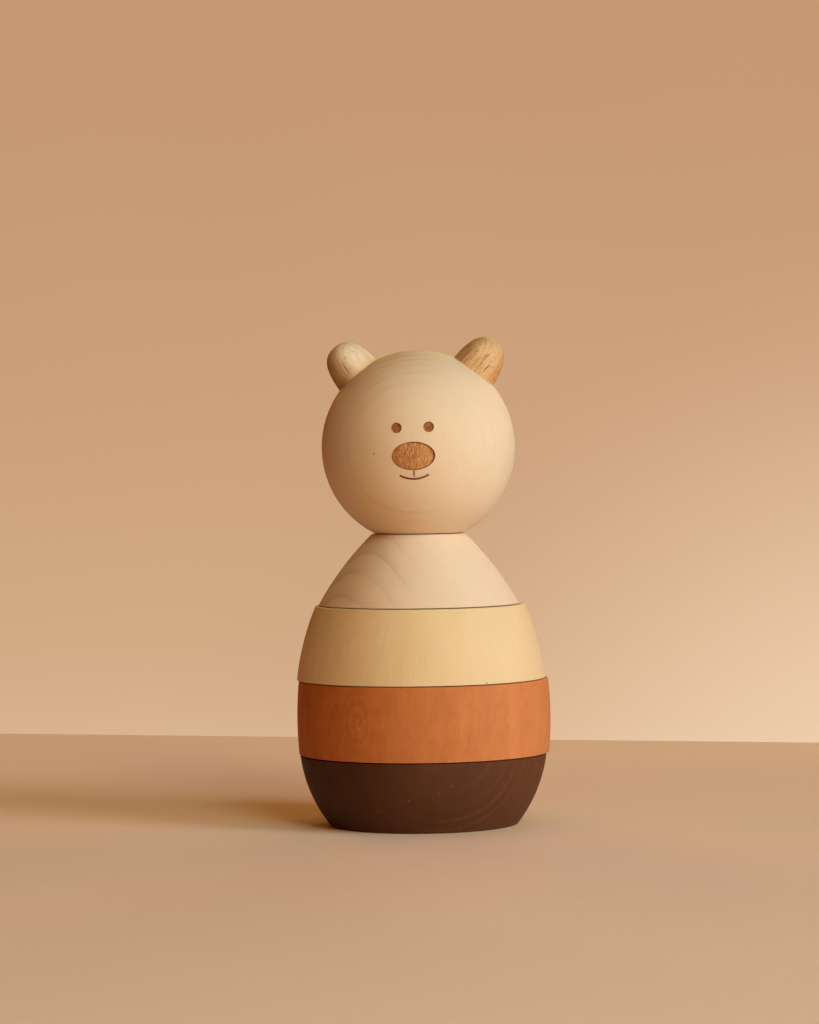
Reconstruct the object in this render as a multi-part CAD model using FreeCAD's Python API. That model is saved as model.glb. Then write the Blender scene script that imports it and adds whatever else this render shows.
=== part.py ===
import FreeCAD, Part
import math
import os

# A wooden bear for stacking: a round base with a glued centre peg, three turned rings that
# drop over the peg, and a ball head with two glued ears that caps it.
# Millimetres, +Z up. The origin is the middle of the base's underside, and the bear faces -Y.

Vector = FreeCAD.Vector

# Heights of the pieces, bottom to top
BASE_HEIGHT = 23.5
TERRACOTTA_HEIGHT = 24.5
YELLOW_HEIGHT = 24.5
SHOULDER_HEIGHT = 23.5

# Outer radii at the bottom, half-way up and at the top: each side is one arc through them
BASE_RADII = (30.9, 37.75, 40.7)
TERRACOTTA_RADII = (41.25, 41.8, 41.15)
YELLOW_RADII = (41.05, 38.75, 34.55)
SHOULDER_RADII = (33.3, 25.65, 15.3)
RIM_ROUND = 0.4

# Each loose piece stands on a seat round its bore. Outside the seat its underside is stepped
# up, which leaves a fine gap at the rim.
SEAT_RISE = 0.3
RING_SEAT_INSET = 4.0
HEAD_SEAT_RADIUS = 12.4

# The peg and the bores that slide on it
PEG_RADIUS = 8.0
PEG_TOP = 120.0
PEG_TIP_ROUND = 2.5
PEG_SOCKET_DEPTH = 16.0
BORE_RADIUS = 9.2
BORE_CHAMFER = 0.6
HEAD_BORE_DEPTH = 26.0

# How far each loose piece sits off the base's axis along X, inside its running clearance
TERRACOTTA_SHIFT = 0.3
YELLOW_SHIFT = -0.45
SHOULDER_SHIFT = -0.8
HEAD_SHIFT = -0.35

# The head is a ball with a flat turned under it
HEAD_RADIUS = 31.9
HEAD_CENTRE_ABOVE_FLAT = 28.45

# The ears and the face share one upright, which leans a little to -X from the peg's
HEAD_LEAN = 1.2

# Ears: dowels with domed tips, glued into blind sockets that point at the head's centre
EAR_TILT = 38.1
EAR_RADIUS = 7.9
EAR_HEIGHT = 12.0
EAR_SHANK = 7.0
EAR_ROOT = 31.05
EAR_FLANK = (0.924, 0.729)
EAR_SHOULDER = 0.62

# Engraved face, in X and Z from the head's centre
EYE_RADIUS = 1.7
EYE_SPACING = 10.4
EYE_RISE = 6.5
NOSE_HALF_WIDTH = 7.05
NOSE_HALF_HEIGHT = 4.6
NOSE_RISE = -2.7
LIP_LINE_WIDTH = 0.3
LIP_LINE_BOTTOM = -9.4
SMILE_WIDTH = 0.6
SMILE_HALF_SPAN = 4.5
SMILE_END_RISE = -8.9
SMILE_LOW_RISE = -10.1
FACE_DEPTH = 0.6
LINE_DEPTH = 0.35

# Stack levels that follow from the heights
TERRACOTTA_Z = BASE_HEIGHT
YELLOW_Z = TERRACOTTA_Z + TERRACOTTA_HEIGHT
SHOULDER_Z = YELLOW_Z + YELLOW_HEIGHT
HEAD_Z = SHOULDER_Z + SHOULDER_HEIGHT
HEAD_CENTRE = Vector(HEAD_SHIFT, 0, HEAD_Z + HEAD_CENTRE_ABOVE_FLAT)


def point(radius, height):
    """A point of a turned outline, in the XZ plane."""
    return Vector(radius, 0, height)


def line(start, end):
    return Part.LineSegment(start, end).toShape()


def arc(start, middle, end):
    return Part.Arc(start, middle, end).toShape()


def turned(edges):
    """Spin a closed outline in the XZ plane about the Z axis."""
    outline = Part.Face(Part.Wire(edges))
    return outline.revolve(Vector(0, 0, 0), Vector(0, 0, 1), 360)


def circular_edges(solid, radius_from, radius_to):
    """The whole rims of a turned solid whose radius lies between two values."""
    rims = []
    for edge in solid.Edges:
        if isinstance(edge.Curve, Part.Circle) and radius_from < edge.Curve.Radius < radius_to:
            rims.append(edge)
    return rims


def seat_step(bottom, seat_radius):
    """The washer-shaped cut that leaves only the seat touching the piece below."""
    foot = point(0, bottom)
    blank = Part.makeCylinder(2 * seat_radius, SEAT_RISE, foot)
    return blank.cut(Part.makeCylinder(seat_radius, SEAT_RISE, foot))


def barrel(bottom, height, radii):
    """A solid turned piece whose side is one arc through three radii."""
    low, middle, high = radii
    top = bottom + height
    side = arc(point(low, bottom), point(middle, bottom + height / 2), point(high, top))
    return turned([
        line(point(0, bottom), point(low, bottom)),
        side,
        line(point(high, top), point(0, top)),
        line(point(0, top), point(0, bottom)),
    ])


def rim_rounded(piece, seat_radius=0.0):
    """Round the outer rims of a turned piece, but not the step at its seat."""
    rims = circular_edges(piece, BORE_RADIUS, math.inf)
    outer = [rim for rim in rims if abs(rim.Curve.Radius - seat_radius) > RIM_ROUND]
    return piece.makeFillet(RIM_ROUND, outer)


def stack_ring(bottom, height, radii, shift):
    """A ring that drops over the peg: a turned piece with a chamfered bore right through."""
    bore = Part.makeCylinder(BORE_RADIUS, height, Vector(0, 0, bottom))
    seat_radius = radii[0] - RING_SEAT_INSET
    blank = barrel(bottom, height, radii).cut(seat_step(bottom, seat_radius))
    ring = rim_rounded(blank, seat_radius).cut(bore)
    mouths = circular_edges(ring, BORE_RADIUS - 0.1, BORE_RADIUS + 0.1)
    ring = ring.makeChamfer(BORE_CHAMFER, mouths)
    ring.translate(Vector(shift, 0, 0))
    return ring


def base():
    """The foot of the stack, with a blind socket for the peg."""
    socket_floor = BASE_HEIGHT - PEG_SOCKET_DEPTH
    socket = Part.makeCylinder(PEG_RADIUS, PEG_SOCKET_DEPTH, Vector(0, 0, socket_floor))
    return rim_rounded(barrel(0, BASE_HEIGHT, BASE_RADII)).cut(socket)


def center_peg():
    """A plain dowel from the socket's floor up into the head, with a rounded tip."""
    foot = BASE_HEIGHT - PEG_SOCKET_DEPTH
    peg = Part.makeCylinder(PEG_RADIUS, PEG_TOP - foot, Vector(0, 0, foot))
    tip = [edge for edge in circular_edges(peg, 0, BORE_RADIUS) if edge.Curve.Center.z > foot]
    return peg.makeFillet(PEG_TIP_ROUND, tip)


def head_ball():
    """The head's outer form about the origin: a ball with a flat under it."""
    flat_angle = math.acos(HEAD_CENTRE_ABOVE_FLAT / HEAD_RADIUS)
    flat_radius = HEAD_RADIUS * math.sin(flat_angle)
    crown = point(0, HEAD_RADIUS)
    foot = point(0, -HEAD_CENTRE_ABOVE_FLAT)
    rim = point(flat_radius, -HEAD_CENTRE_ABOVE_FLAT)
    return turned([arc(crown, point(HEAD_RADIUS, 0), rim), line(rim, foot), line(foot, crown)])


def ear_angle(side):
    """How far an ear's axis turns from +Z towards +X, in degrees."""
    return side * EAR_TILT - HEAD_LEAN


def ear_axis(side):
    angle = math.radians(ear_angle(side))
    return Vector(math.sin(angle), 0, math.cos(angle))


def ear(side):
    """A dowel with a domed tip, sunk by its shank; side is -1 or +1 along X."""
    flank_radius, flank_height = EAR_FLANK
    dome = Part.BezierCurve()
    dome.setPoles([
        point(EAR_RADIUS, 0),
        point(flank_radius * EAR_RADIUS, flank_height * EAR_HEIGHT),
        point(EAR_SHOULDER * EAR_RADIUS, EAR_HEIGHT),
        point(0, EAR_HEIGHT),
    ])
    dowel = turned([
        line(point(0, -EAR_SHANK), point(EAR_RADIUS, -EAR_SHANK)),
        line(point(EAR_RADIUS, -EAR_SHANK), point(EAR_RADIUS, 0)),
        dome.toShape(),
        line(point(0, EAR_HEIGHT), point(0, -EAR_SHANK)),
    ])
    dowel.rotate(Vector(0, 0, 0), Vector(0, 1, 0), ear_angle(side))
    dowel.translate(ear_axis(side) * EAR_ROOT)
    return dowel


def ear_socket(side):
    """A flat-bottomed hole along the ear's axis, from the shank's end out through the ball."""
    floor = EAR_ROOT - EAR_SHANK
    axis = ear_axis(side)
    return Part.makeCylinder(EAR_RADIUS, 2 * EAR_SHANK, axis * floor, axis)


def front_prism(wire):
    """Carry an outline drawn upright in the XZ plane forward past the head's front, and lean it."""
    prism = Part.Face(wire).extrude(Vector(0, -2 * HEAD_RADIUS, 0))
    prism.rotate(Vector(0, 0, 0), Vector(0, 1, 0), -HEAD_LEAN)
    return prism


def oval_prism(across, rise, half_width, half_height):
    """An upright or lying oval, centred across the face and at a rise from its centre."""
    centre = point(across, rise)
    wide = centre + Vector(half_width, 0, 0)
    tall = centre + Vector(0, 0, half_height)
    oval = Part.Ellipse(wide, tall, centre)
    return front_prism(Part.Wire(oval.toShape()))


def smile_prism():
    """A curved stroke of even width through the two mouth corners and its lowest point."""
    sag = SMILE_END_RISE - SMILE_LOW_RISE
    bend = (SMILE_HALF_SPAN ** 2 + sag ** 2) / (2 * sag)
    middle = point(0, SMILE_LOW_RISE + bend)
    half_angle = math.asin(SMILE_HALF_SPAN / bend)
    half_width = SMILE_WIDTH / 2

    def on_curve(radius, angle):
        return middle + Vector(radius * math.sin(angle), 0, -radius * math.cos(angle))

    def stroke_side(radius):
        ends = on_curve(radius, -half_angle), on_curve(radius, half_angle)
        return arc(ends[0], on_curve(radius, 0), ends[1])

    def round_end(angle, way):
        tip_angle = angle + way * half_width / bend
        inner, outer = on_curve(bend - half_width, angle), on_curve(bend + half_width, angle)
        return arc(inner, on_curve(bend, tip_angle), outer)

    outline = [
        stroke_side(bend - half_width),
        round_end(half_angle, 1),
        stroke_side(bend + half_width),
        round_end(-half_angle, -1),
    ]
    return front_prism(Part.Wire(Part.__sortEdges__(outline)))


def lip_line_prism():
    """The short upright line from inside the nose down to the smile."""
    left, right = -LIP_LINE_WIDTH / 2, LIP_LINE_WIDTH / 2
    corners = [
        point(left, NOSE_RISE),
        point(right, NOSE_RISE),
        point(right, LIP_LINE_BOTTOM),
        point(left, LIP_LINE_BOTTOM),
        point(left, NOSE_RISE),
    ]
    return front_prism(Part.makePolygon(corners))


def engraved(ball, prism, depth):
    """Cut a prism into the front of the ball to an even depth below its surface."""
    return ball.cut(prism.cut(Part.makeSphere(HEAD_RADIUS - depth)))


def head():
    """The ball with its peg bore, ear sockets and engraved face."""
    flat = point(0, -HEAD_CENTRE_ABOVE_FLAT)
    bore = Part.makeCylinder(BORE_RADIUS, HEAD_BORE_DEPTH, flat)
    mouth = Part.makeCone(BORE_RADIUS + BORE_CHAMFER, BORE_RADIUS, BORE_CHAMFER, flat)
    ball = head_ball().cut(seat_step(-HEAD_CENTRE_ABOVE_FLAT, HEAD_SEAT_RADIUS)).cut(bore).cut(mouth)
    for side in (-1, 1):
        ball = ball.cut(ear_socket(side))
        eye = oval_prism(side * EYE_SPACING / 2, EYE_RISE, EYE_RADIUS, EYE_RADIUS)
        ball = engraved(ball, eye, FACE_DEPTH)
    nose = oval_prism(0, NOSE_RISE, NOSE_HALF_WIDTH, NOSE_HALF_HEIGHT)
    ball = engraved(ball, nose, FACE_DEPTH)
    ball = engraved(ball, lip_line_prism(), LINE_DEPTH)
    ball = engraved(ball, smile_prism(), LINE_DEPTH)
    ball.translate(HEAD_CENTRE)
    return ball


def placed_ear(side):
    piece = ear(side)
    piece.translate(HEAD_CENTRE)
    return piece


def write(node, shape):
    solid = shape if shape.ShapeType == "Solid" else shape.Solids[0]
    if len(shape.Solids) != 1 or not solid.isValid():
        raise ValueError(node + " is not one valid solid")
    box = solid.BoundBox
    print("%-16s %9.0f mm3  X %.2f..%.2f  Y %.2f..%.2f  Z %.2f..%.2f" % (
        node, solid.Volume, box.XMin, box.XMax, box.YMin, box.YMax, box.ZMin, box.ZMax))
    solid.exportStep(os.path.join("parts", node + ".step"))


os.makedirs("parts", exist_ok=True)
write("base", base())
write("center_peg", center_peg())
write("terracotta_ring", stack_ring(TERRACOTTA_Z, TERRACOTTA_HEIGHT, TERRACOTTA_RADII, TERRACOTTA_SHIFT))
write("yellow_ring", stack_ring(YELLOW_Z, YELLOW_HEIGHT, YELLOW_RADII, YELLOW_SHIFT))
write("shoulder_ring", stack_ring(SHOULDER_Z, SHOULDER_HEIGHT, SHOULDER_RADII, SHOULDER_SHIFT))
write("head", head())
write("left_ear", placed_ear(-1))
write("right_ear", placed_ear(1))
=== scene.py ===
import math

import bpy
from mathutils import Matrix, Vector


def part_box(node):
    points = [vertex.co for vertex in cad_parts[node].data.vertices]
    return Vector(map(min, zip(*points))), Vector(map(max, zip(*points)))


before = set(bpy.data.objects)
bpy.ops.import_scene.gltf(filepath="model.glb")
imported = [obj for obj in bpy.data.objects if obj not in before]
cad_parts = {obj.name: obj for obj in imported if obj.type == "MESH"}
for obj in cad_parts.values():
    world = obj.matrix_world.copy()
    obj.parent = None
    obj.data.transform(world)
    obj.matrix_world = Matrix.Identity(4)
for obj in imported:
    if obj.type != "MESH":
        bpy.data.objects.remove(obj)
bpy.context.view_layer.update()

# Left and right are the viewer's, so right is +X and the front is -Y.
# The camera is about level with the bear's eyes and a little round to the right. Its lengths are
# in metres and its angles in degrees, but the lens and the sensor are in millimetres.
CAMERA_DISTANCE = 1.175
CAMERA_HEIGHT = 0.1293
CAMERA_AZIMUTH = 3.1
CAMERA_PITCH = 1.2785
CAMERA_YAW = 0.1734
CAMERA_ROLL = 0.763
CAMERA_LENS = 125.2
SENSOR = 36.0

# The table's far edge runs behind the bear, nearer on the right
TABLE_EDGE_BEHIND = 0.316
TABLE_EDGE_TURN = -12.5
TABLE_HALF_WIDTH = 1.3
TABLE_FRONT = 1.3
TABLE_THICKNESS = 0.03

# Distances from the bear's middle between which the table's painted bounce light and shade at the
# foot, and its painted light, fade out
PAINTED_BOUNCE_FADE = (0.034, 0.05)
PAINTED_LIGHT_FADE = (0.6, 1.3)

# The round wall glows brighter in a painted pool of light low behind the bear, on the right
WALL_RADIUS = 3.2
WALL_FOOT = -2.0
WALL_TOP = 3.0
WALL_SEGMENTS = 96
PAINTED_POOL_CENTRE = (0.5, 3.15, -0.5)
PAINTED_POOL_RADIUS = 0.9

# The lamps stand round a point half way up the bear
LAMP_DISTANCE = 2.5
LAMP_AIM = (0.0, 0.0, 0.08)

# Mean colours of the woods and of the burnt face, linear
PALE = (0.78, 0.608, 0.421)
SHOULDER_PALE = (0.800, 0.630, 0.475)
STRAW = (0.765, 0.570, 0.328)
TERRACOTTA = (0.535, 0.179, 0.0528)
DARK_BROWN = (0.088, 0.0314, 0.0125)
LEFT_BEECH = (0.79, 0.605, 0.42)
RIGHT_BEECH = (0.695, 0.455, 0.235)
BURNT = (0.76, 0.395, 0.145)
CHARRED = (0.27, 0.07, 0.016)

# Colours of the staging, linear; the table has a painted bounce of warm light and shade just round
# the bear's foot
TABLE = (0.853, 0.671, 0.62)
TABLE_PAINTED_BOUNCE = (0.86, 0.64, 0.50)
WALL_LOW = (0.715, 0.485, 0.295)
WALL_HIGH = (0.565, 0.319, 0.171)
WALL_PAINTED_POOL = (0.88, 0.62, 0.42)

# The woods' gloss, their relief's height in metres, and how far a pit sinks into that relief
SHINE = 0.15
BUMP = 0.00002
PIT = -2.0

# How much of a light or dark share red, green and blue take; a warm dark share takes most blue
WARM = (0.8, 1.0, 1.3)
GREY = (1.0, 1.0, 1.05)
REDDISH = (0.65, 1.05, 1.4)
SPECK = (0.7, 1.1, 1.4)

# The engraved face, in millimetres from the head's centre. It lies in front of FACE_BACK, and the
# eyes lie above EYES_ABOVE. Under the ball's surface the wood starts to look burnt within the
# burnt depths, and within the floor depths a wall or a line gives way to a wide cut's floor.
NOSE_CENTRE = (0.0, 0.0, -2.7)
NOSE_HALF_WIDTH = 7.05
NOSE_HALF_HEIGHT = 4.6
FACE_BACK = -26.0
EYES_ABOVE = 3.0
BURNT_DEPTHS = (0.04, 0.12)
FLOOR_DEPTHS = (0.5, 0.58)

# Each ear turns outwards by the tilt, and the whole head leans to the left. The right ear's grain
# slants from the ear's axis. All are in degrees.
EAR_TILT = 38.1
HEAD_LEAN = 1.2
RIGHT_GRAIN_SLANT = 8.0


class Graph:
    """A material's node tree, with one short call for each kind of node that is used here."""

    def __init__(self, name):
        self.material = bpy.data.materials.new(name)
        self.material.use_nodes = True
        self.tree = self.material.node_tree
        self.shader = self.tree.nodes["Principled BSDF"]

    def feed(self, socket, value):
        if isinstance(value, bpy.types.NodeSocket):
            self.tree.links.new(value, socket)
        else:
            socket.default_value = value

    def node(self, kind, inputs=(), **settings):
        made = self.tree.nodes.new("ShaderNode" + kind)
        for name, value in settings.items():
            setattr(made, name, value)
        for name, value in dict(inputs).items():
            self.feed(made.inputs[name], value)
        return made

    def math(self, operation, first, second=0.0, clamp=False):
        made = self.node("Math", {0: first, 1: second}, operation=operation, use_clamp=clamp)
        return made.outputs[0]

    def chain(self, operation, values):
        result = values[0]
        for value in values[1:]:
            result = self.math(operation, result, value)
        return result

    def total(self, *values):
        return self.chain("ADD", values)

    def product(self, *values):
        return self.chain("MULTIPLY", values)

    def vector(self, operation, first, second=(0.0, 0.0, 0.0)):
        made = self.node("VectorMath", {0: first, 1: second}, operation=operation)
        return made.outputs["Value" if operation in ("LENGTH", "DISTANCE") else "Vector"]

    def times(self, vector, factor):
        made = self.node("VectorMath", {0: vector, "Scale": factor}, operation="SCALE")
        return made.outputs["Vector"]

    def noise(self, vector, detail=2.0, roughness=0.55):
        """Smooth noise about zero, mostly within -1 and 1."""
        made = self.node("TexNoise", {
            "Vector": vector, "Scale": 1.0, "Detail": detail, "Roughness": roughness})
        return self.product(self.math("SUBTRACT", made.outputs["Fac"], 0.5), 4.0)

    def wander(self, vector, reach):
        """A slowly changing shift in every direction, about zero."""
        made = self.node("TexNoise", {"Vector": vector, "Scale": 1.0, "Detail": 2.0})
        return self.times(self.vector("SUBTRACT", made.outputs["Color"], (0.5, 0.5, 0.5)), reach)

    def band(self, value, low, high, start=0.0, end=1.0):
        """A smooth change from start to end while a value goes from low to high."""
        made = self.node("MapRange", {
            "Value": value, "From Min": low, "From Max": high, "To Min": start, "To Max": end},
            interpolation_type="SMOOTHSTEP")
        return made.outputs["Result"]

    def mix(self, factor, first, second):
        made = self.node("Mix", data_type="RGBA", clamp_factor=True)
        self.feed(made.inputs[0], factor)
        self.feed(made.inputs[6], first)
        self.feed(made.inputs[7], second)
        return made.outputs[2]

    def ramp(self, value, stops):
        made = self.node("ValToRGB", {"Fac": value})
        ramp = made.color_ramp
        while len(ramp.elements) < len(stops):
            ramp.elements.new(0.5)
        for element, (place, level) in zip(ramp.elements, stops):
            element.position = place
            element.color = (level, level, level, 1.0)
        return made.outputs["Color"]


def opaque(colour):
    return (*colour, 1.0)


class Wood(Graph):
    """Solid wood, figured in millimetres from a centre, with its grain along Z.

    The figure is laid on as shares of the wood's tone. A strength above zero lightens and one
    below zero darkens, and the hue says how much of that red, green and blue take. A lean turns
    the grain's direction from Z towards +X, in degrees, and the marks' places with it.
    """

    def __init__(self, name, tone, seed, centre=(0.0, 0.0, 0.0), lean=0.0):
        super().__init__(name)
        self.tone = tone
        inside = self.node("TexCoord").outputs["Object"]
        inside = self.vector("SUBTRACT", inside, centre)
        if lean:
            turned = self.node("VectorRotate", {"Vector": inside, "Angle": math.radians(-lean)},
                               rotation_type="Y_AXIS")
            inside = turned.outputs["Vector"]
        self.place = self.times(inside, 1000.0)
        self.lot = self.vector("ADD", self.place, (seed, 0.0, 2.7 * seed))
        self.shades = []
        self.reliefs = []

    def part(self, axis):
        """The distance along one axis from the centre, in millimetres."""
        return self.node("SeparateXYZ", {"Vector": self.place}).outputs[axis]

    def stretch(self, across, along):
        """This wood's own coordinates for noise, so many cycles per millimetre each way."""
        return self.vector("MULTIPLY", self.lot, (across, across, along))

    def shade(self, strength, hue=WARM):
        """Adds a lighter or darker share of the tone."""
        self.shades.append(self.times(hue, strength))

    def pits(self, where, strength, hue):
        """Shades small spots and sinks them a little into the surface."""
        self.shade(self.product(where, strength), hue)
        self.reliefs.append(self.product(where, PIT))

    def rings(self, pith, gap, strength, sway=6.0, sharp=0.9, patch=0.6, hue=WARM, within=1.0):
        """Growth rings round an upright pith line, each with its own strength.

        They sway by up to about so many millimetres, each is strongest at its sharp share of the
        gap, and along their way they come and go by the patch share.
        """
        drift = self.wander(self.stretch(0.035, 0.014), sway)
        across = self.vector("SUBTRACT", self.vector("ADD", self.place, drift), (*pith, 0.0))
        radius = self.vector("LENGTH", self.vector("MULTIPLY", across, (1.0, 1.0, 0.0)))
        turns = self.math("DIVIDE", radius, gap)
        late = self.ramp(self.math("FRACT", turns), (
            (0.0, 0.0), (0.45, 0.08), (sharp - 0.12, 0.45), (sharp, 1.0), (1.0, 0.0)))
        chance = self.node("TexWhiteNoise", {"W": self.math("FLOOR", turns)},
                           noise_dimensions="1D").outputs["Value"]
        own = self.band(chance, 0.0, 1.0, 0.35, 1.25)
        come = self.noise(self.stretch(0.05, 0.03))
        come = self.band(come, -0.9, 0.9, 1.0 - patch, 1.0 + patch)
        self.shade(self.product(late, own, come, within, strength), hue)

    def fibres(self, strength, coarse=0.9, fine=3.6, run=30.0):
        """Fine streaks along the grain in two widths, each so many times longer than it is wide."""
        wide = self.noise(self.stretch(coarse, coarse / run), 3.0, 0.6)
        thin = self.noise(self.stretch(fine, fine / run), 2.0, 0.6)
        self.shade(self.product(self.total(wide, thin), strength))
        self.reliefs.append(thin)

    def streaks(self, within, strength, hue):
        """A few long streaks along the grain, only where asked."""
        line = self.noise(self.stretch(0.7, 0.008), 2.0)
        self.shade(self.product(line, within, strength), hue)

    def clouds(self, strength, across=0.06, along=0.04):
        """Broad soft patches."""
        self.shade(self.product(self.noise(self.stretch(across, along), 3.0), strength))

    def specks(self, across, along, radius, share, strength):
        """Small specks in a share of the cells of a stretched lattice."""
        cells = self.node("TexVoronoi", {
            "Vector": self.stretch(across, along), "Scale": 1.0, "Randomness": 1.0})
        dot = self.band(cells.outputs["Distance"], radius * 0.5, radius, 1.0, 0.0)
        chance = self.node("SeparateColor", {"Color": cells.outputs["Color"]}).outputs["Red"]
        chosen = self.math("LESS_THAN", chance, share)
        self.pits(self.product(dot, chosen), strength, WARM)

    def dashes(self, across, along, above, strength):
        """Long thin dashes along the grain, where a stretched noise rises above a level."""
        noise = self.noise(self.stretch(across, along), 1.0)
        self.pits(self.band(noise, above, above + 0.35), strength, REDDISH)

    def swirl(self, at, size, strength):
        """The closed rings round a small knot, taller than wide, that fade outwards."""
        bend = self.wander(self.stretch(1.25, 1.0), 4.0)
        away = self.vector("SUBTRACT", self.vector("ADD", self.place, bend), at)
        away = self.vector("LENGTH", self.vector("MULTIPLY", away, (1.0, 1.0, 0.62)))
        wave = self.math("SINE", self.product(away, 2.0 * math.pi / size))
        fade = self.band(away, 1.0, 4.2 * size, 1.0, 0.0)
        self.shade(self.product(wave, fade, strength))

    def sides(self, left, right, hue):
        """Painted light and shade: a slow change of tone towards the left side and towards the
        right side.
        """
        x = self.part("X")
        left_share = self.band(x, -36.0, 4.0, left, 0.0)
        right_share = self.band(x, 12.0, 38.0, 0.0, right)
        self.shade(self.total(left_share, right_share), hue)

    def mark(self, at, size, strength, hue=WARM):
        """One soft spot at a place, with its half sizes across and along, in millimetres.

        It reaches further into the wood than across, to meet the curved surface.
        """
        across, along = size
        away = self.vector("SUBTRACT", self.place, at)
        away = self.vector("LENGTH", self.vector("DIVIDE", away, (across, across + 1.5, along)))
        self.shade(self.product(self.band(away, 0.2, 1.0, 1.0, 0.0), strength), hue)

    def colour(self):
        total = (1.0, 1.0, 1.0)
        for share in self.shades:
            total = self.vector("ADD", share, total)
        return self.vector("MULTIPLY", total, self.tone)

    def finish(self, colour=None, relief=None, roughness=0.56):
        """Feeds the shader with the figure, or with a colour and a relief that take it in."""
        inputs = self.shader.inputs
        height = self.total(*self.reliefs) if relief is None else relief
        self.feed(inputs["Base Color"], self.colour() if colour is None else colour)
        grain = self.noise(self.stretch(0.8, 0.1), 2.0)
        rough = self.band(grain, -1.0, 1.0, roughness - 0.06, roughness + 0.06)
        self.feed(inputs["Roughness"], rough)
        bump = self.node("Bump", {"Height": height, "Strength": 1.0, "Distance": BUMP})
        self.feed(inputs["Normal"], bump.outputs["Normal"])
        self.feed(inputs["Specular IOR Level"], SHINE)
        return self.material


def dark_brown_wood():
    """The base: deep stain with faint light arcs on its right and a few light specks."""
    w = Wood("dark_brown_wood", DARK_BROWN, 11.0)
    # Painted shade darkens the left side and painted light brightens the right side.
    w.sides(left=-0.33, right=0.32, hue=(1.0, 0.9, 0.6))
    right = w.band(w.part("X"), -6.0, 12.0, 0.1, 1.0)
    w.rings(pith=(-30.0, 136.0), gap=2.2, strength=0.2, sway=3.0, sharp=0.7, patch=0.8,
            within=right)
    w.fibres(0.05)
    w.clouds(0.12)
    w.specks(across=0.5, along=0.35, radius=0.15, share=0.1, strength=1.7)
    return w.finish(roughness=0.62)


def terracotta_wood():
    """The lowest ring: blotchy stain with a small knot and two light bands up the grain."""
    knot = (-19.3, -37.0, 36.6)
    knot_heart = (-18.6, -37.3, 34.6)
    near_band = (14.9, -39.1, 38.0)
    far_band = (30.6, -28.8, 36.0)
    dark_spot = (-26.6, -31.8, 41.5)
    w = Wood("terracotta_wood", TERRACOTTA, 23.0)
    # Painted shade darkens the left side and painted light brightens the right side.
    w.sides(left=-0.11, right=0.15, hue=(1.0, 1.5, 2.6))
    # Painted shade: the left side takes the warmer, less blue colour of its shade.
    painted_shade_tint_left = w.band(w.part("X"), -40.0, 0.0, -0.2, 0.0)
    w.shade(painted_shade_tint_left, (0.0, 0.25, 1.0))
    w.rings(pith=(-60.0, 150.0), gap=8.0, strength=-0.05, sway=14.0)
    w.fibres(0.05, coarse=0.8, fine=2.2, run=5.0)
    w.clouds(0.07, across=0.2, along=0.12)
    w.clouds(0.06, across=0.4, along=0.3)
    w.swirl(knot, size=2.2, strength=0.09)
    w.mark(knot_heart, (1.4, 1.2), 0.35)
    w.mark(near_band, (2.2, 16.0), 0.08)
    w.mark(far_band, (2.6, 18.0), 0.08)
    w.mark(dark_spot, (0.8, 1.0), -0.2)
    return w.finish(roughness=0.58)


def straw_wood():
    """The middle ring: smooth yellow with a few faint streaks on its left and one dark speck."""
    dark_speck = (22.5, -33.9, 48.7)
    w = Wood("straw_wood", STRAW, 37.0)
    # Painted light: a little lighter towards both side edges.
    w.sides(left=0.03, right=0.03, hue=(1.0, 1.3, 1.8))
    w.rings(pith=(-160.0, 20.0), gap=6.0, strength=-0.015, sway=8.0)
    w.fibres(0.014, coarse=0.5, fine=2.4, run=20.0)
    w.clouds(0.025, across=0.2, along=0.02)
    left = w.band(w.part("X"), -10.0, -2.0, 1.0, 0.0)
    w.streaks(within=left, strength=0.045, hue=(1.3, 0.9, 1.7))
    w.mark(dark_speck, (0.35, 0.6), -0.5)
    return w.finish()


def pale_wood():
    """The shoulder ring: natural wood with clear arcs on its left."""
    w = Wood("pale_wood", SHOULDER_PALE, 5.0)
    left = w.band(w.part("X"), -12.0, 4.0, 1.0, 0.12)
    w.rings(pith=(100.0, 87.0), gap=5.0, strength=-0.16, sway=5.0, hue=GREY, within=left)
    w.fibres(0.016)
    w.clouds(0.03)
    return w.finish()


def head_ball():
    """The centre and the radius of the head's ball, in metres."""
    low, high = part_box("head")
    radius = (high.x - low.x) / 2
    return Vector(((low.x + high.x) / 2, 0.0, high.z - radius)), radius


def head_wood():
    """The head: natural wood with rings round the face, which is burnt into it."""
    cheek_speck = (-12.8, -29.1, -1.8)
    lip_stroke = (0.1, -30.7, -8.3)
    centre, radius = head_ball()
    w = Wood("pale_wood_engraved", PALE, 71.0, centre)
    # Painted light: lighter towards the right side.
    w.sides(left=0.0, right=0.06, hue=(1.0, 1.3, 1.5))
    # Painted light: bluer towards the top and less blue towards the bottom, as the light falls
    # there.
    painted_light_tint_upwards = w.band(w.part("Z"), -28.0, 30.0, -0.05, 0.07)
    w.shade(painted_light_tint_upwards, (0.0, 0.1, 1.0))
    # Painted shade: the shaded left rim is redder and less blue.
    painted_shade_left_rim = w.band(w.part("X"), -32.0, -24.0, -0.25, 0.0)
    w.shade(painted_shade_left_rim, (-0.25, 0.0, 1.0))
    left = w.band(w.part("X"), -2.0, 14.0, 1.0, 0.12)
    top = w.band(w.part("Z"), -14.0, 16.0, 0.5, 1.1)
    w.rings(pith=(-3.0, 170.0), gap=3.3, strength=-0.1, sway=4.0, sharp=0.75, patch=0.8,
            hue=GREY, within=w.product(left, top))
    w.fibres(0.016)
    w.clouds(0.025)
    w.mark(cheek_speck, (0.45, 0.5), -0.5, SPECK)
    w.mark(lip_stroke, (0.7, 1.9), -0.4, (0.5, 1.1, 1.5))
    return burn_face(w, radius * 1000.0)


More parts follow.
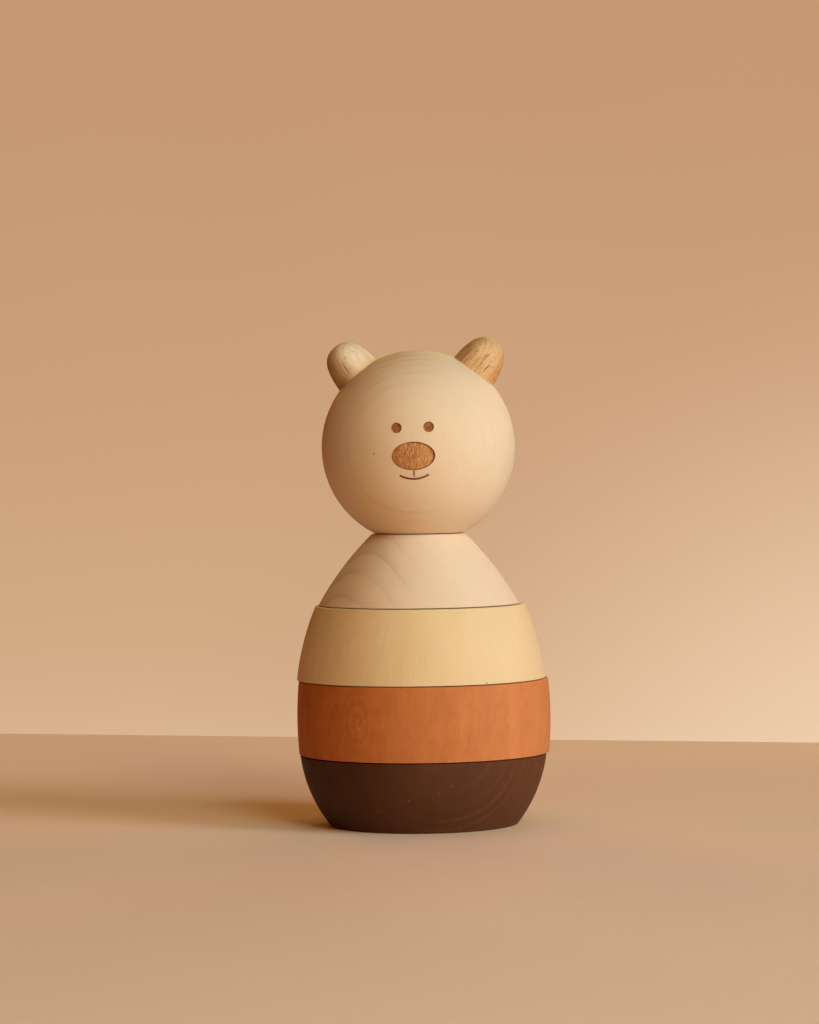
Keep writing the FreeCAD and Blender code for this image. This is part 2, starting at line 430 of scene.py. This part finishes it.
def burn_face(w, radius):
    """Burns the head's wood where it lies deeper than the ball's surface, in the engraved face."""
    depth = w.math("SUBTRACT", radius, w.vector("LENGTH", w.place))
    front = w.math("LESS_THAN", w.part("Y"), FACE_BACK)
    cut = w.product(w.band(depth, *BURNT_DEPTHS), front)
    floor = w.product(w.band(depth, *FLOOR_DEPTHS), front)
    streaks = w.noise(w.stretch(2.3, 0.6), 3.0, 0.75)
    tone = w.mix(scorch(w, streaks), opaque(BURNT), opaque(CHARRED))
    tone = w.mix(floor, opaque(CHARRED), tone)
    colour = w.mix(cut, w.colour(), tone)
    relief = w.total(*w.reliefs, w.product(streaks, floor, -4.0))
    return w.finish(colour, relief)


def scorch(w, streaks):
    """How charred the floors of the wide cuts are: the nose most at its rim, and more on its left
    as painted shade.
    """
    away = w.vector("SUBTRACT", w.place, NOSE_CENTRE)
    away = w.vector("MULTIPLY", away, (1 / NOSE_HALF_WIDTH, 0.0, 1 / NOSE_HALF_HEIGHT))
    rim = w.band(w.vector("LENGTH", away), 0.85, 1.0, 0.0, 0.35)
    # Painted shade: the nose's charred level rises towards its left.
    nose = w.band(w.part("X"), -6.0, 5.0, 0.55, 0.36)
    is_eye = w.math("GREATER_THAN", w.part("Z"), EYES_ABOVE)
    is_nose = w.math("SUBTRACT", 1.0, is_eye)
    level = w.total(w.product(is_eye, 0.46), w.product(is_nose, nose))
    return w.total(w.product(streaks, 0.62), rim, level)


def beech(name, tone, seed, lean, pith, dash, stripe):
    """A dowel's wood, still open to marks, with dashes and close stripes as dark as asked."""
    centre, _ = head_ball()
    w = Wood(name, tone, seed, centre, lean)
    w.rings(pith, gap=1.15, strength=-stripe, sway=1.2, sharp=0.8)
    w.fibres(0.08, coarse=1.2, fine=2.6, run=14.0)
    w.clouds(0.08, across=0.14, along=0.06)
    w.dashes(across=2.6, along=0.09, above=0.5, strength=-dash)
    w.dashes(across=3.6, along=0.2, above=0.6, strength=-0.7 * dash)
    return w


def left_ear_wood():
    """Light beech, with its grain along the ear, painted shade to the left, and three larger marks,
    one of them a painted highlight.
    """
    # The light patch is a painted highlight where the ear faces the light.
    light_patch = (3.0, -6.0, 37.0)
    brown_spot = (0.7, -6.8, 37.7)
    long_dash = (-1.3, -6.9, 34.5)
    w = beech("beech_left", LEFT_BEECH, 90.0, -EAR_TILT - HEAD_LEAN, pith=(-35.0, 22.0),
              dash=0.3, stripe=0.16)
    # Painted shade on the ear's left side.
    painted_shade_left = w.band(w.part("X"), -7.0, 2.0, -0.5, 0.0)
    w.shade(painted_shade_left, (0.8, 1.02, 1.25))
    w.mark(light_patch, (4.5, 9.0), 0.14, (0.6, 1.1, 1.8))
    w.mark(brown_spot, (0.9, 0.7), -0.25, (0.4, 1.0, 1.7))
    w.mark(long_dash, (0.35, 3.2), -0.5, SPECK)
    return w.finish(roughness=0.52)


def right_ear_wood():
    """Darker beech, with its grain slanting across the ear, and four larger marks."""
    orange_side = (2.7, -2.0, 37.7)
    light_patch = (-6.7, -6.5, 37.9)
    upper_dash = (-4.3, -6.8, 37.2)
    lower_dash = (-1.8, -6.6, 34.2)
    lean = EAR_TILT - HEAD_LEAN + RIGHT_GRAIN_SLANT
    w = beech("beech_right", RIGHT_BEECH, 47.0, lean, pith=(35.0, 22.0), dash=0.6, stripe=0.34)
    # Painted shade at the ear's left edge.
    painted_shade_left = w.band(w.part("X"), -12.2, -6.2, -0.22, 0.0)
    w.shade(painted_shade_left, (1.0, 1.0, 0.7))
    w.mark(orange_side, (6.0, 16.0), 0.12, (0.2, -1.2, -2.6))
    w.mark(light_patch, (2.6, 3.6), 0.12, (0.8, 1.2, 2.0))
    w.mark(upper_dash, (0.3, 2.9), -0.6, SPECK)
    w.mark(lower_dash, (0.3, 2.1), -0.6, SPECK)
    return w.finish(roughness=0.52)


def peg_wood():
    """Plain beech, with its grain upright."""
    w = beech("beech", RIGHT_BEECH, 63.0, 0.0, pith=(0.0, 22.0), dash=0.4, stripe=0.2)
    return w.finish(roughness=0.52)


def dress(node, material):
    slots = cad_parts[node].data.materials
    slots.clear()
    slots.append(material)


def make_materials():
    dress("base", dark_brown_wood())
    dress("terracotta_ring", terracotta_wood())
    dress("yellow_ring", straw_wood())
    dress("shoulder_ring", pale_wood())
    dress("head", head_wood())
    dress("left_ear", left_ear_wood())
    dress("right_ear", right_ear_wood())
    dress("center_peg", peg_wood())


def add_mesh(name, vertices, faces, material):
    mesh = bpy.data.meshes.new(name)
    mesh.from_pydata(vertices, [], faces)
    mesh.materials.append(material)
    made = bpy.data.objects.new(name, mesh)
    bpy.context.scene.collection.objects.link(made)
    return made


def table_material():
    """A pale board, faintly mottled, with painted light making it lighter towards its far edge and
    painted shade making it darker far from the bear.
    """
    g = Graph("table")
    place = g.node("TexCoord").outputs["Object"]
    away = g.vector("LENGTH", place)
    cloud = g.noise(g.times(place, 9.0), 3.0)
    mottle = g.noise(g.times(place, 220.0), 2.0)
    grit = g.noise(g.times(place, 900.0), 2.0)
    # Painted light: lighter towards the far edge.
    behind = g.band(g.node("SeparateXYZ", {"Vector": place}).outputs["Y"], 0.08, 0.28, 0.0, 0.1)
    tone = g.total(1.0, behind, g.product(g.total(cloud, mottle, grit), 0.012))
    # Painted shade: darker far from the bear.
    tone = g.product(tone, g.band(away, *PAINTED_LIGHT_FADE, 1.0, 0.4))
    # Painted bounce light and shade: warmer and darker just round the bear's foot.
    bounce = g.band(away, *PAINTED_BOUNCE_FADE, 1.0, 0.0)
    colour = g.mix(bounce, opaque(TABLE), opaque(TABLE_PAINTED_BOUNCE))
    g.feed(g.shader.inputs["Base Color"], g.times(colour, tone))
    g.feed(g.shader.inputs["Roughness"], 0.85)
    g.feed(g.shader.inputs["Specular IOR Level"], 0.05)
    bump = g.node("Bump", {"Height": grit, "Strength": 0.4, "Distance": BUMP})
    g.feed(g.shader.inputs["Normal"], bump.outputs["Normal"])
    return g.material


def make_table():
    """The pale floor: a wide flat top that ends a short way behind the bear."""
    turn = Matrix.Rotation(math.radians(TABLE_EDGE_TURN), 4, "Z")
    outline = [(-TABLE_HALF_WIDTH, -TABLE_FRONT), (TABLE_HALF_WIDTH, -TABLE_FRONT),
               (TABLE_HALF_WIDTH, TABLE_EDGE_BEHIND), (-TABLE_HALF_WIDTH, TABLE_EDGE_BEHIND)]
    vertices = [turn @ Vector((x, y, z)) for z in (0.0, -TABLE_THICKNESS) for x, y in outline]
    faces = [(0, 1, 2, 3), (7, 6, 5, 4)]
    faces += [(i, i + 4, (i + 1) % 4 + 4, (i + 1) % 4) for i in range(4)]
    table = add_mesh("table", vertices, faces, table_material())


def wall_material():
    """A plain wall that glows with its own painted soft light, so that the lamps and the bear don't
    change it.
    """
    g = Graph("backdrop")
    place = g.node("TexCoord").outputs["Object"]
    height = g.node("SeparateXYZ", {"Vector": place}).outputs["Z"]
    # Painted light: the glow is brighter low down and darker higher up.
    rise = g.math("MULTIPLY", g.math("ADD", height, 0.25), 1.25, clamp=True)
    colour = g.mix(g.math("POWER", rise, 0.42), opaque(WALL_LOW), opaque(WALL_HIGH))
    cloud = g.noise(g.times(place, 1.6), 1.0)
    colour = g.times(colour, g.total(1.0, g.product(cloud, 0.02)))
    # Painted pool of light low behind the bear.
    pool = g.band(g.vector("DISTANCE", place, PAINTED_POOL_CENTRE), 0.0, PAINTED_POOL_RADIUS, 1.25, 0.0)
    colour = g.mix(pool, colour, opaque(WALL_PAINTED_POOL))
    glow = g.node("Emission", {"Color": colour, "Strength": 1.0})
    g.tree.links.new(glow.outputs[0], g.tree.nodes["Material Output"].inputs["Surface"])
    return g.material


def make_wall():
    """A round wall with a floor, far behind on every side, seen only by the camera."""
    outline = ((0.0, WALL_FOOT), (WALL_RADIUS, WALL_FOOT), (WALL_RADIUS, WALL_TOP))
    count = len(outline)
    vertices, faces = [], []
    for i in range(WALL_SEGMENTS):
        angle = 2 * math.pi * i / WALL_SEGMENTS
        for radius, z in outline:
            vertices.append((radius * math.sin(angle), radius * math.cos(angle), z))
        here, there = i * count, (i + 1) % WALL_SEGMENTS * count
        for k in range(count - 1):
            faces.append((here + k, there + k, there + k + 1, here + k + 1))
    wall = add_mesh("backdrop", vertices, faces, wall_material())
    wall.visible_diffuse = wall.visible_glossy = wall.visible_shadow = False
    wall.visible_transmission = False


def add_light(name, azimuth, elevation, size, watts):
    """A soft round lamp at an azimuth from the bear's front towards +X.

    The angles are in degrees, the size in metres, and the watts are of red, green and blue.
    """
    a, e = math.radians(azimuth), math.radians(elevation)
    way = Vector((math.sin(a) * math.cos(e), -math.cos(a) * math.cos(e), math.sin(e)))
    data = bpy.data.lights.new(name, "AREA")
    data.shape = "DISK"
    data.size = size
    data.energy = max(watts)
    data.color = [share / data.energy for share in watts]
    lamp = bpy.data.objects.new(name, data)
    lamp.location = Vector(LAMP_AIM) + way * LAMP_DISTANCE
    lamp.rotation_mode = "QUATERNION"
    lamp.rotation_quaternion = (-way).to_track_quat("-Z", "Y")
    lamp.visible_camera = False
    bpy.context.scene.collection.objects.link(lamp)


def make_lights():
    """Soft light mostly from the front right, fill from behind and above, and a dark world."""
    add_light("front_low", 25, 12, 1.0, (21.7, 8.7, 0.3))
    add_light("front_high", 25, 35, 1.0, (7.2, 14.2, 12.8))
    add_light("key_near", 50, 14, 0.9, (13.6, 12.5, 12.9))
    add_light("key_side", 62, 12, 0.9, (5.2, 15.5, 26.1))
    add_light("key_high", 60, 36, 1.0, (14.2, 9.7, 1.6))
    add_light("back_right", 135, 22, 1.0, (9.3, 3.3, 0.9))
    add_light("back", 170, 25, 1.2, (9.5, 7.8, 3.7))
    add_light("back_left", -150, 30, 1.2, (8.0, 4.8, 0.2))
    add_light("left", -90, 30, 1.2, (4.8, 0.2, 0.0))
    add_light("top", 0, 85, 1.5, (5.1, 1.9, 0.1))
    world = bpy.data.worlds.new("studio")
    world.use_nodes = True
    world.node_tree.nodes["Background"].inputs["Strength"].default_value = 0.0
    bpy.context.scene.world = world
    bpy.context.scene.view_settings.view_transform = "Standard"


def make_camera():
    data = bpy.data.cameras.new("camera")
    data.sensor_width = SENSOR
    data.lens = CAMERA_LENS
    data.clip_start = 0.05
    data.clip_end = 50.0
    camera = bpy.data.objects.new("camera", data)
    bpy.context.scene.collection.objects.link(camera)
    azimuth, pitch = math.radians(CAMERA_AZIMUTH), math.radians(CAMERA_PITCH)
    yaw, roll = math.radians(CAMERA_YAW), math.radians(CAMERA_ROLL)
    stand = Vector((math.sin(azimuth), -math.cos(azimuth), 0.0)) * CAMERA_DISTANCE
    stand.z = CAMERA_HEIGHT
    turn = (Matrix.Rotation(azimuth + yaw, 4, "Z") @ Matrix.Rotation(math.pi / 2 - pitch, 4, "X")
            @ Matrix.Rotation(-roll, 4, "Z"))
    camera.matrix_world = Matrix.Translation(stand) @ turn
    bpy.context.scene.camera = camera


make_camera()
make_lights()
make_table()
make_wall()
make_materials()
